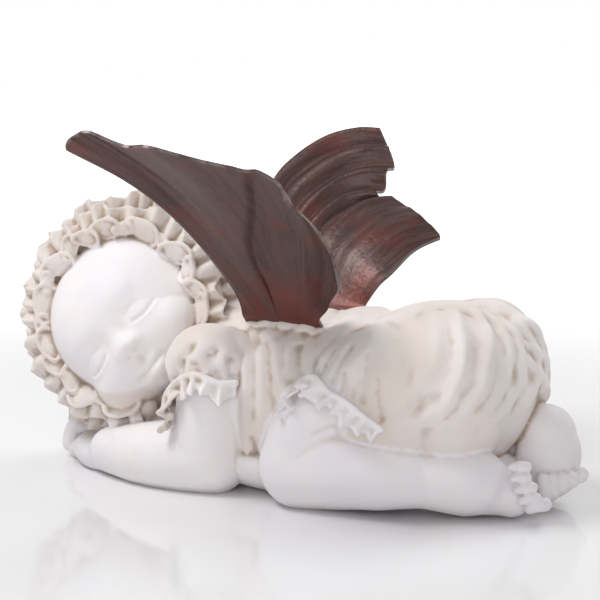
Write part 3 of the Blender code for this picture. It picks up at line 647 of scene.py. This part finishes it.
def limbs(bm):
    """Add the arms folded under the head and the drawn-up legs, softened where they meet."""

    def masses(soft):
        for points, radii in LIMBS:
            limb(soft, points, radii)
        ball(soft, (-101, -17, 9), (20, 11.5, 9.5),
             (unit(-0.85, 0.5, 0), unit(0.5, 0.85, 0), unit(0, 0, 1)))
        for side in (-1, 1):
            ball(soft, (48, side * 34, 40), (32, 17, 14))

    def creases(at):
        height = fold_line(at, [(33, -57, 37), (46, -58, 41), (60, -56, 42), (76, -48, 41)], -0.9, 1.5)
        height += fold_line(at, [(84, -48, 30), (87, -46, 22), (86, -44, 14)], -0.5, 2.0)
        return height + fold_line(at, [(-80, -38, 24), (-82, -38, 17), (-81, -36, 9)], -0.7, 1.4)

    blend(bm, masses, 7, 1.1, creases)


def digits(bm):
    """Add the fingers, the far foot's sole and all the toes."""
    for i in range(4):
        start = Vector((-108.0 + i * 3.4, -15.0 + i * 6.5, 7.5))
        limb(bm, [start, start + Vector((-9, 5, -0.5)), start + Vector((-15, 9, -2.5))],
             [4.6, 4.2, 3.6], 2)
    ball(bm, (-108, 7, 16), (14, 11, 8),
         (unit(-0.85, -0.5, 0), unit(-0.5, 0.85, 0), unit(0, 0, 1)))
    for i in range(4):
        start = Vector((-115.0 - i * 1.2, -1.0 + i * 6.4, 17.5))
        limb(bm, [start, start + Vector((-9, -2.5, -1.5)), start + Vector((-12.5, -3.5, -10))],
             [4.8, 4.6, 4.0], 2)

    row = [(113.0, -19.0, 25.0), (114.5, -20.5, 20.3), (117.0, -21.0, 15.3), (118.5, -20.5, 10.2),
           (121.5, -17.5, 6.4)]
    tips = [(124.0, -13.5, 25.6), (124.5, -14.5, 21.0), (127.0, -13.5, 17.2), (128.8, -13.0, 12.4),
            (131.0, -9.5, 9.4)]
    for i, (base, tip) in enumerate(zip(row, tips)):
        size = 2.25 + (0.7 if i == 4 else 0.0)
        proud = Vector((2.2, -4.1, 0.6))
        lead = (Vector(tip) - Vector(base)).normalized()
        heel_end = Vector(base) + proud + lead * 2.0
        far_end = Vector(tip) + proud - lead * 3.6
        middle = (heel_end + far_end) / 2 + Vector((0.5, -0.9, 0.7))
        limb(bm, [heel_end, middle, far_end], [size * 0.8, size, size * 1.1], 3)

    sole = (unit(0.80, -0.60, 0.05), unit(0.60, 0.80, 0), unit(-0.05, 0, 1))

    def foot(soft):
        ball(soft, (116.5, 18.5, 33), (14, 14.5, 14), sole)
        ball(soft, (119, 17, 24), (12, 16, 18), sole)
        ball(soft, (119, 17, 15), (10, 15, 12), sole)

    blend(bm, foot, 4)
    for i in range(5):
        along = Vector((122.1 + 3.0 * i, 2.1 + 4.0 * i, 0.0))
        low = 4.6 + 2.3 * i
        limb(bm, [along + Vector((-1.5, 1.0, low)), along + Vector((1.2, -0.8, low + 3.0)),
                  along + Vector((0.4, -0.3, 16.0 - 0.3 * i))],
             [2.9 - 0.1 * i, 3.2 - 0.1 * i, 3.1 - 0.08 * i], 3)


def underside(bm):
    """Add the casting's body under the head, chest and hips."""
    ball(bm, (-70, 4, 18), (40, 28, 20))
    ball(bm, (0, 0, 16), (50, 40, 18))
    ball(bm, (66, 0, 16), (46, 28, 18))


def back_ridges(bm):
    """Add the low uneven ridge that closes the back around each wing's root."""
    half = WING_ROOT / 2
    for side in (-1, 1):
        line = []
        for i in range(17):
            share = i / 16
            line.append(Vector((ROOT_X + (share * 2 - 1) * (half + 2),
                                side * (ROOT_Y + 0.5 * math.sin(i * 2.4)),
                                ROOT_Z - 0.6 - 3.4 * (share * 2 - 1) ** 2
                                + 0.7 * math.sin(i * 3.9))))
        limb(bm, line, [3.0 + 0.5 * math.sin(i * 1.7) for i in range(17)], 2)


def keep_largest(bm):
    """Delete every shell but the one with most points, such as the skin of an inner void."""
    unseen = set(bm.verts)
    shells = []
    while unseen:
        seed = unseen.pop()
        shell = [seed]
        queue = [seed]
        while queue:
            for edge in queue.pop().link_edges:
                for vert in edge.verts:
                    if vert in unseen:
                        unseen.remove(vert)
                        shell.append(vert)
                        queue.append(vert)
        shells.append(shell)
    shells.sort(key=len)
    rest = [vert for shell in shells[:-1] for vert in shell]
    bmesh.ops.delete(bm, geom=rest, context="VERTS")


def hollowness(mesh, rounds):
    """How far each point lies below its surroundings, by averaging over its neighbours."""
    at, out = places(mesh)
    ends = np.empty(len(mesh.edges) * 2, dtype=np.int32)
    mesh.edges.foreach_get("vertices", ends)
    one, two = ends.reshape(-1, 2).T
    count = np.bincount(one, minlength=len(at)) + np.bincount(two, minlength=len(at))
    mean = at.copy()
    for _ in range(rounds):
        for axis in range(3):
            total = np.bincount(one, mean[two, axis], len(at))
            total += np.bincount(two, mean[one, axis], len(at))
            mean[:, axis] = 0.5 * mean[:, axis] + 0.5 * total / count
    return np.sum((mean - at) * out, axis=1)


def clothed(at):
    """Share of cloth at each place: 1 on the dress, the sleeves and the bonnet, 0 on skin."""
    share = np.zeros(len(at))
    for side in (-1, 1):
        for centre, radii in (((60, side * 29, 52), (39, 29, 35)), ((84, side * 20, 56), (33, 31, 38)),
                              ((70, 0, 56), (49, 52, 42)), ((34, 0, 52), (32, 40, 38)),
                              ((-6, 0, 44), (54, 44, 46)), ((-30, side * 33, 61), (23, 20, 21))):
            far = np.sum(((at - np.array(centre)) / np.array(radii)) ** 2, axis=1)
            share = np.maximum(share, smooth(1.12, 0.98, far))
    reach = at - np.array(FRILL_CENTRE)
    depth = reach @ np.array(FRILL_AXIS)
    wide = np.sqrt(np.maximum(np.sum(reach ** 2, axis=1) - depth ** 2, 0.0))
    bonnet_at = np.maximum(smooth(FRILL_INNER - 8, FRILL_INNER - 4, wide), smooth(-6.0, -12.0, depth))
    bonnet_at *= smooth(67.0, 63.0, wide) * smooth(-26, -34, at[:, 0])
    share = np.maximum(share, bonnet_at)
    for points, radii in LIMBS:
        gap, along = near(at, through(points, 24))
        inside = np.interp(along, np.linspace(0, 1, len(radii)), radii)
        share = share * smooth(1.2, 3.2, gap - inside)
    return share


def paint(mesh, name, values):
    """Keep one number for each point of a mesh, for its material to read."""
    layer = mesh.attributes.new(name, "FLOAT", "POINT")
    layer.data.foreach_set("value", values.astype(np.float32))


def wing_frame(side):
    """The wing's root middle, its direction along the body, its leaf direction and its face."""
    lean = math.radians(LEFT_LEAN if side < 0 else RIGHT_LEAN)
    root = Vector((ROOT_X, side * ROOT_Y, ROOT_Z))
    leaf = Vector((0, side * math.cos(lean), math.sin(lean)))
    face = Vector((0, -side * math.sin(lean), math.cos(lean)))
    return root, Vector((1, 0, 0)), leaf, face


def wing_outline(side, steps):
    """A wing's leading edge, rim and trailing edge, in shares of its root width and reach."""
    if side < 0:
        lead = [(-0.50, 0.0), (-0.48, 0.12), (-0.63, 0.41), (-0.76, 0.61), (-1.00, 0.78),
                (-1.44, 0.94)]
        rim = [(-1.44, 0.94), (-1.52, 0.96), (-1.555, 1.005), (-1.51, 1.05), (-1.39, 1.075),
               (-1.18, 1.08), (-0.80, 1.03), (-0.44, 1.055),
               (0.08, 0.97), (0.44, 0.92), (0.82, 0.83), (0.85, 0.75), (0.95, 0.70),
               (0.98, 0.57), (1.03, 0.45), (1.0, 0.316)]
        trail = [(0.50, 0.0), (0.64, 0.10), (0.85, 0.19), (1.0, 0.316)]
    else:
        lead = [(-0.50, 0.0), (-0.93, 0.20), (-1.34, 0.455), (-1.43, 0.675), (-1.28, 0.82),
                (-1.00, 0.945), (-0.66, 1.01), (-0.36, 1.03)]
        rim = [(-0.36, 1.03), (-0.16, 0.94), (0.0, 0.85), (0.02, 0.74), (0.02, 0.65),
               (0.24, 0.64), (0.53, 0.58), (0.82, 0.51), (1.04, 0.46), (1.09, 0.42)]
        trail = [(0.50, 0.0), (0.60, 0.10), (0.76, 0.18), (0.90, 0.32), (1.09, 0.42)]
    return [through([(x, h, 0.0) for x, h in edge], steps) for edge in (lead, rim, trail)]


def lobe_edge(side, v):
    """Where a wing's raised lobe begins, as a share of the way round its rim."""
    return 0.618 - 0.22 * (1 - v) if side < 0 else 0.532


def wing_place(side, outline, u, v):
    """A point of the wing's middle surface: u runs round the rim, v from the root outward."""
    root, along, leaf, face = wing_frame(side)
    steps = len(outline[0]) - 1
    lead, rim, trail = (edge[int(round(at * steps))] for edge, at in zip(outline, (v, u, v)))
    corner = outline[0][-1] * (1 - u) + outline[2][-1] * u
    flat = rim * v + lead * (1 - u) + trail * u - corner * v
    bend = math.sin(math.pi * v)
    fade = v * v * (3 - 2 * v)
    if side < 0:
        out = 1.8 * fade * math.sin(2 * math.pi * (3.5 * u + 0.1)) + 4.0 * bend
        brink = lobe_edge(side, v)
        out += 2.3 * float(smooth(brink - 0.01, brink + 0.01, u) * smooth(0.1, 0.4, v))
        out += 0.35 * fade * math.sin(2 * math.pi * (9.0 * u + 0.5 * v))
    else:
        upper = float(smooth(0.6, 0.5, u))
        out = 2.9 * fade * math.sin(2 * math.pi * (7.0 * u + 0.2)) * upper
        out += 1.8 * fade * math.sin(2 * math.pi * 3.0 * u) * (1 - upper) + 5.0 * bend
        out += 2.2 * float(smooth(0.515, 0.54, u) * smooth(0.15, 0.45, v))
        out += 0.3 * fade * math.sin(2 * math.pi * (13.0 * u - 0.6 * v))
    return root + along * (flat.x * WING_ROOT) + leaf * (flat.y * WING_REACH) + face * out


def wire(node, values):
    """Link or set a node's inputs, given as (socket, value)."""
    for socket, value in values:
        if isinstance(value, bpy.types.NodeSocket):
            node.id_data.links.new(value, node.inputs[socket])
        else:
            node.inputs[socket].default_value = value


def adder(tree):
    """A helper that adds a node to a tree and wires it."""
    def add(kind, values=(), **settings):
        node = tree.nodes.new(kind)
        for key, value in settings.items():
            setattr(node, key, value)
        wire(node, values)
        return node
    return add


def finish_of(name):
    """A new material, its shader and the helper that adds its nodes."""
    made = bpy.data.materials.new(name)
    made.use_nodes = True
    return made, made.node_tree.nodes["Principled BSDF"], adder(made.node_tree)


def noise(add, where, scale, detail, *more):
    """A noise pattern, from 0 to 1."""
    node = add("ShaderNodeTexNoise", [("Vector", where), ("Scale", scale), ("Detail", detail),
                                      *more])
    return node.outputs["Fac"]


def painted(add, name):
    """A number that was kept for each point of the mesh."""
    return add("ShaderNodeAttribute", attribute_name=name).outputs["Fac"]


def worked(add, operation, one, two):
    """Two numbers multiplied, added or compared."""
    return add("ShaderNodeMath", [(0, one), (1, two)], operation=operation).outputs[0]


def ranged(add, source, low, high, start=0.0, end=1.0, **settings):
    """A number that goes from low to high as its source goes from start to end."""
    node = add("ShaderNodeMapRange", [("Value", source), ("From Min", start), ("From Max", end),
                                      ("To Min", low), ("To Max", high)], **settings)
    return node.outputs[0]


def ramp(add, source, stops):
    """A smooth step or band of a number, given as (place, value) stops."""
    node = add("ShaderNodeValToRGB", [("Fac", source)])
    while len(node.color_ramp.elements) < len(stops):
        node.color_ramp.elements.new(0.5)
    for element, (place, value) in zip(node.color_ramp.elements, stops):
        element.position = place
        element.color = (value, value, value, 1.0)
    return node.outputs["Color"]


def mixed(add, share, first, second):
    """Colour first turning to second as share goes from 0 to 1."""
    first, second = (colour if isinstance(colour, bpy.types.NodeSocket) else (*colour, 1.0)
                     for colour in (first, second))
    node = add("ShaderNodeMix", [(0, share), (6, first), (7, second)], data_type="RGBA")
    return node.outputs[2]


def shade(colour, by):
    """A colour with each channel times its own factor."""
    return tuple(min(1.0, channel * factor) for channel, factor in zip(colour, by))


def stone_material(settings):
    """Cream casting with mottling, a beige tint on its cloth, a thin wash in its fine hollows that is
    partly real brown wash and partly painted shade, and painted shade in its broad hollows.
    """
    made, shader, add = finish_of("washed_stone")
    where = add("ShaderNodeTexCoord").outputs["Object"]
    broad = noise(add, where, 22.0, 5.0)
    fine = noise(add, where, 160.0, 6.0)
    grain = noise(add, where, 900.0, 3.0)
    cloth = painted(add, "cloth")
    cream = settings.cream
    body = mixed(add, ramp(add, broad, [(0.38, 0.0), (0.62, 1.0)]), cream,
                 shade(cream, (0.95, 0.95, 0.985)))
    body = mixed(add, ramp(add, fine, [(0.52, 0.0), (0.74, 0.55)]), body,
                 shade(cream, (0.99, 0.96, 0.92)))
    tint = worked(add, "MULTIPLY", cloth, broad)
    body = mixed(add, ramp(add, tint, [(0.22, 0.0), (0.60, 1.0)]), body,
                 shade(cream, (0.84, 0.79, 0.73)))

    # The wash in the fine hollows, thicker on the cloth: partly the real brown wash, partly painted
    # shade
    share = ranged(add, cloth, 0.40, 1.0)
    worn = ranged(add, fine, 0.6, 1.0, 0.3, 0.7)
    wash_and_shade = worked(add, "MULTIPLY", worked(add, "MULTIPLY", painted(add, "hollow_wash_and_shade"), worn), share)
    body = mixed(add, ramp(add, wash_and_shade, [(0.05, 0.0), (0.9, 0.8)]), body, settings.wash_and_shade)
    # Painted shade: the broad hollows, kept in the bend attribute, darken towards a deep brown
    deep_shade = worked(add, "MULTIPLY", painted(add, "bend"), share)
    body = mixed(add, ramp(add, deep_shade, [(0.22, 0.0), (1.0, 0.7)]), body,
                 shade(settings.wash_and_shade, (0.55, 0.55, 0.55)))
    raised = add("ShaderNodeBump", [("Height", worked(add, "ADD", fine, grain)),
                                    ("Strength", 0.10), ("Distance", 0.0006)])
    wire(shader, [("Base Color", body), ("Roughness", ranged(add, fine, 0.48, 0.68)),
                  ("Normal", raised.outputs["Normal"]), ("Specular IOR Level", 0.38)])
    return made


def patina_material(settings):
    """Dark bronze patina streaked along the flutes, with red patches and a rubbed rim."""
    made, shader, add = finish_of("wing_bronze")
    where = add("ShaderNodeTexCoord").outputs["Object"]
    leaf = add("ShaderNodeUVMap", uv_map="leaf").outputs["UV"]
    along = add("ShaderNodeMapping", [("Vector", leaf), ("Scale", (14.0, 1.3, 1.0))])
    streaks = noise(add, along.outputs[0], 3.0, 8.0, ("Roughness", 0.62), ("Distortion", 0.6))
    clouds = noise(add, where, 34.0, 8.0, ("Roughness", 0.6))
    specks = noise(add, where, 420.0, 4.0)
    body = mixed(add, ramp(add, streaks, [(0.38, 0.0), (0.66, 1.0)]), settings.bronze,
                 shade(settings.bronze, (1.9, 1.9, 1.9)))
    red = worked(add, "ADD", clouds, painted(add, "root"))
    body = mixed(add, ramp(add, red, [(0.52, 0.0), (0.74, 0.9)]), body, settings.rust)
    rub = worked(add, "MULTIPLY", painted(add, "edge"), streaks)
    body = mixed(add, ramp(add, rub, [(0.30, 0.0), (0.62, 0.8)]), body, settings.bare)
    raised = add("ShaderNodeBump", [("Height", worked(add, "ADD", streaks, specks)),
                                    ("Strength", 0.28), ("Distance", 0.0007)])
    wire(shader, [("Base Color", body), ("Roughness", ranged(add, streaks, 0.27, 0.48, 0.3, 0.7)),
                  ("Normal", raised.outputs["Normal"]), ("Metallic", 0.35)])
    return made


class OBJECT_OT_sleeper_casting(bpy.types.Operator):
    """Carve the child, its bonnet and its dress as one casting"""
    bl_idname = "object.sleeper_casting"
    bl_label = "Casting"

    def execute(self, context):
        settings = context.scene.sleeper_casting
        bm = bmesh.new()
        for add in (head, bonnet, dress, limbs, digits, underside, back_ridges):
            add(bm)
        made = holder_of(bm, "carved_figure")
        fuse(made, settings.skin, 2)
        bm = bmesh.new()
        bm.from_mesh(made.data)
        keep_largest(bm)
        bmesh.ops.triangulate(bm, faces=bm.faces)
        count = len(bm.faces)
        bm.to_mesh(made.data)
        bm.free()
        thin = made.modifiers.new("Thin", "DECIMATE")
        thin.ratio = min(1.0, settings.triangles / count)
        apply_modifiers(made)
        bm = bmesh.new()
        bm.from_mesh(made.data)
        bmesh.ops.bisect_plane(bm, geom=bm.verts[:] + bm.edges[:] + bm.faces[:],
                               plane_co=(0, 0, SINK), plane_no=(0, 0, 1), clear_inner=True)
        bmesh.ops.holes_fill(bm, edges=[edge for edge in bm.edges if edge.is_boundary])
        bmesh.ops.triangulate(bm, faces=bm.faces)
        bmesh.ops.recalc_face_normals(bm, faces=bm.faces)
        bm.to_mesh(made.data)
        cloth = clothed(places(made.data)[0])
        to_frame(bm)
        bm.to_mesh(made.data)
        bm.free()
        made.data.shade_smooth()
        paint(made.data, "cloth", cloth)
        fine = hollowness(made.data, FINE_ROUNDS) / UNIT
        broad = hollowness(made.data, BROAD_ROUNDS) / UNIT
        # Partly the real brown wash and partly painted shade, in the fine hollows
        paint(made.data, "hollow_wash_and_shade", np.clip(fine * FINE_WASH_AND_SHADE, 0.0, 1.0))
        # Painted shade in the broad hollows, kept as the bend attribute
        paint(made.data, "bend", np.clip(broad * BROAD_SHADE, 0.0, 1.0))
        made.data.materials.clear()
        made.data.materials.append(stone_material(settings))
        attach(made, "root")
        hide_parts("figure")
        return {"FINISHED"}


class OBJECT_OT_sleeper_wings(bpy.types.Operator):
    """Form both fluted sheet wings and give them their patina"""
    bl_idname = "object.sleeper_wings"
    bl_label = "Wings"

    def execute(self, context):
        settings = context.scene.sleeper_wings
        finish = patina_material(settings)
        for name, node, side in (("near_wing", "left_wing", -1), ("far_wing", "right_wing", 1)):
            self.form(settings, name, node, side, finish)
        return {"FINISHED"}

    def form(self, settings, name, node, side, finish):
        """Form one wing: a grid laid on its middle surface, then given its thickness."""
        root, along, leaf, _ = wing_frame(side)
        outline = wing_outline(side, OUTLINE_STEPS)
        columns = settings.columns
        rows = settings.rows
        bm = bmesh.new()
        uv = bm.loops.layers.uv.new("leaf")
        edge = bm.verts.layers.float.new("edge")
        base = bm.verts.layers.float.new("root")
        made = bmesh.ops.create_grid(bm, x_segments=columns, y_segments=rows + STEM_ROWS,
                                     size=1.0)
        share = {}
        for vert in made["verts"]:
            i = int(round((vert.co.x + 1.0) * columns / 2))
            j = int(round((vert.co.y + 1.0) * (rows + STEM_ROWS) / 2))
            share[vert] = (i / columns, max(0.0, (j - STEM_ROWS) / rows))
            u, v = share[vert]
            foot = root + along * ((u - 0.5) * WING_ROOT)
            if j < STEM_ROWS:
                vert.co = foot + leaf * (-SLOT_DEPTH + (SLOT_DEPTH + ROOT_STAND) * j / STEM_ROWS)
            elif v < FREE:
                foot = foot + leaf * ROOT_STAND
                top = wing_place(side, outline, u, FREE)
                slope = (wing_place(side, outline, u, FREE * 1.05) - top) * 20
                t = v / FREE
                vert.co = (foot * (1 + 2 * t) * (1 - t) ** 2 + leaf * (ROOT_PULL * t * (1 - t) ** 2)
                           + top * t * t * (3 - 2 * t) - slope * t * t * (1 - t))
            else:
                vert.co = wing_place(side, outline, u, v)
            rim = max(float(smooth(0.975, 1.0, v)), float(smooth(0.012, 0.0, u)),
                      float(smooth(0.988, 1.0, u)))
            fold = smooth(0.012, 0.0, abs(u - lobe_edge(side, v))) * smooth(0.2, 0.5, v)
            vert[edge] = max(rim, 0.45 * float(fold))
            vert[base] = 0.22 * float(smooth(0.30, 0.0, v)) + 0.06 * rim
        for bm_face in bm.faces:
            for loop in bm_face.loops:
                loop[uv].uv = share[loop.vert]
        to_frame(bm)
        wing = holder_of(bm, name)
        add_wall(wing, SHEET * UNIT)
        apply_modifiers(wing)
        bm = bmesh.new()
        bm.from_mesh(wing.data)
        if bm.calc_volume(signed=True) < 0:
            bmesh.ops.reverse_faces(bm, faces=bm.faces)
        bm.to_mesh(wing.data)
        bm.free()
        wing.data.shade_smooth()
        wing.data.set_sharp_from_angle(angle=math.radians(60))
        wing.data.materials.clear()
        wing.data.materials.append(finish)
        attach(wing, "root")
        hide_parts(node)


class OBJECT_OT_sleeper_stage(bpy.types.Operator):
    """Lay the pale floor and set the studio light and the camera"""
    bl_idname = "object.sleeper_stage"
    bl_label = "Stage"

    def execute(self, context):
        settings = context.scene.sleeper_stage
        bm = bmesh.new()
        bmesh.ops.create_circle(bm, segments=96, radius=FLOOR_RADIUS, cap_ends=True)
        floor = holder_of(bm, "floor")
        made, shader, add = finish_of("pale_floor")
        where = add("ShaderNodeTexCoord").outputs["Object"]
        haze = noise(add, where, 1.2, 2.0)
        away = add("ShaderNodeVectorMath", [(0, where)], operation="LENGTH").outputs["Value"]
        tone = mixed(add, haze, settings.floor, shade(settings.floor, (0.975, 0.975, 0.975)))
        glow = ranged(add, away, 0.0, 1.0, 0.25, 1.20, interpolation_type="SMOOTHSTEP")
        wire(shader, [("Base Color", tone), ("Roughness", ranged(add, haze, 0.05, 0.10)),
                      ("Emission Strength", glow), ("Emission Color", WHITE)])
        floor.data.materials.append(made)

        world = bpy.data.worlds.new("studio")
        context.scene.world = world
        world.use_nodes = True
        add = adder(world.node_tree)
        sky = world.node_tree.nodes["Background"]
        wire(sky, [("Color", WHITE), ("Strength", SKY_STRENGTH)])
        white = add("ShaderNodeBackground", [("Color", WHITE)])
        seen = add("ShaderNodeLightPath").outputs
        where = add("ShaderNodeTexCoord").outputs["Generated"]
        height = add("ShaderNodeSeparateXYZ", [(0, where)]).outputs["Z"]
        gloss = worked(add, "MULTIPLY", ranged(add, height, 1.0, 0.0, 0.12, 0.5),
                       seen["Is Glossy Ray"])
        either = worked(add, "MAXIMUM", seen["Is Camera Ray"], gloss)
        join = add("ShaderNodeMixShader", [(0, either), (1, sky.outputs[0]), (2, white.outputs[0])])
        wire(world.node_tree.nodes["World Output"], [("Surface", join.outputs[0])])
        for name, place, size, power in LAMPS:
            lamp = bpy.data.lights.new(name, "AREA")
            lamp.shape = "DISK"
            lamp.size = size
            lamp.energy = power
            light = bpy.data.objects.new(name, lamp)
            context.scene.collection.objects.link(light)
            light.location = place
            light.rotation_euler = (LAMP_AIM - light.location).to_track_quat("-Z", "Y").to_euler()
        context.scene.view_settings.view_transform = "Standard"

        target = (CAMERA_AIM + SHIFT) * UNIT
        back = Vector((math.sin(settings.azimuth) * math.cos(settings.elevation),
                       -math.cos(settings.azimuth) * math.cos(settings.elevation),
                       math.sin(settings.elevation)))
        data = bpy.data.cameras.new("camera")
        data.lens = settings.lens
        data.sensor_width = 36.0
        data.clip_start = 0.05
        camera = bpy.data.objects.new("camera", data)
        context.scene.collection.objects.link(camera)
        camera.location = target + back * settings.distance
        camera.rotation_euler = (target - camera.location).to_track_quat("-Z", "Y").to_euler()
        context.scene.camera = camera
        return {"FINISHED"}


class VIEW3D_PT_sleeper(bpy.types.Panel):
    """Lists the figure's sizes, colours and steps"""
    bl_label = "Sleeping figure"
    bl_idname = "VIEW3D_PT_sleeper"
    bl_space_type = "VIEW_3D"
    bl_region_type = "UI"
    bl_category = "Sleeper"

    def draw(self, context):
        for step, group in (("casting", context.scene.sleeper_casting),
                            ("wings", context.scene.sleeper_wings),
                            ("stage", context.scene.sleeper_stage)):
            box = self.layout.box()
            for key in group.__annotations__:
                box.prop(group, key)
            box.operator("object.sleeper_" + step)


CLASSES = (CastingSettings, WingSettings, StageSettings, OBJECT_OT_sleeper_casting,
           OBJECT_OT_sleeper_wings, OBJECT_OT_sleeper_stage, VIEW3D_PT_sleeper)


def register():
    """Register the classes and their settings."""
    for each in CLASSES:
        bpy.utils.register_class(each)
    bpy.types.Scene.sleeper_casting = PointerProperty(type=CastingSettings)
    bpy.types.Scene.sleeper_wings = PointerProperty(type=WingSettings)
    bpy.types.Scene.sleeper_stage = PointerProperty(type=StageSettings)


def unregister():
    """Remove the classes and their settings."""
    del bpy.types.Scene.sleeper_stage
    del bpy.types.Scene.sleeper_wings
    del bpy.types.Scene.sleeper_casting
    for each in reversed(CLASSES):
        bpy.utils.unregister_class(each)


def main():
    """Dress the frame piece by piece."""
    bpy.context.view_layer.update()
    register()
    bpy.ops.object.sleeper_casting()
    bpy.ops.object.sleeper_wings()
    bpy.ops.object.sleeper_stage()


if __name__ == "__main__":
    main()
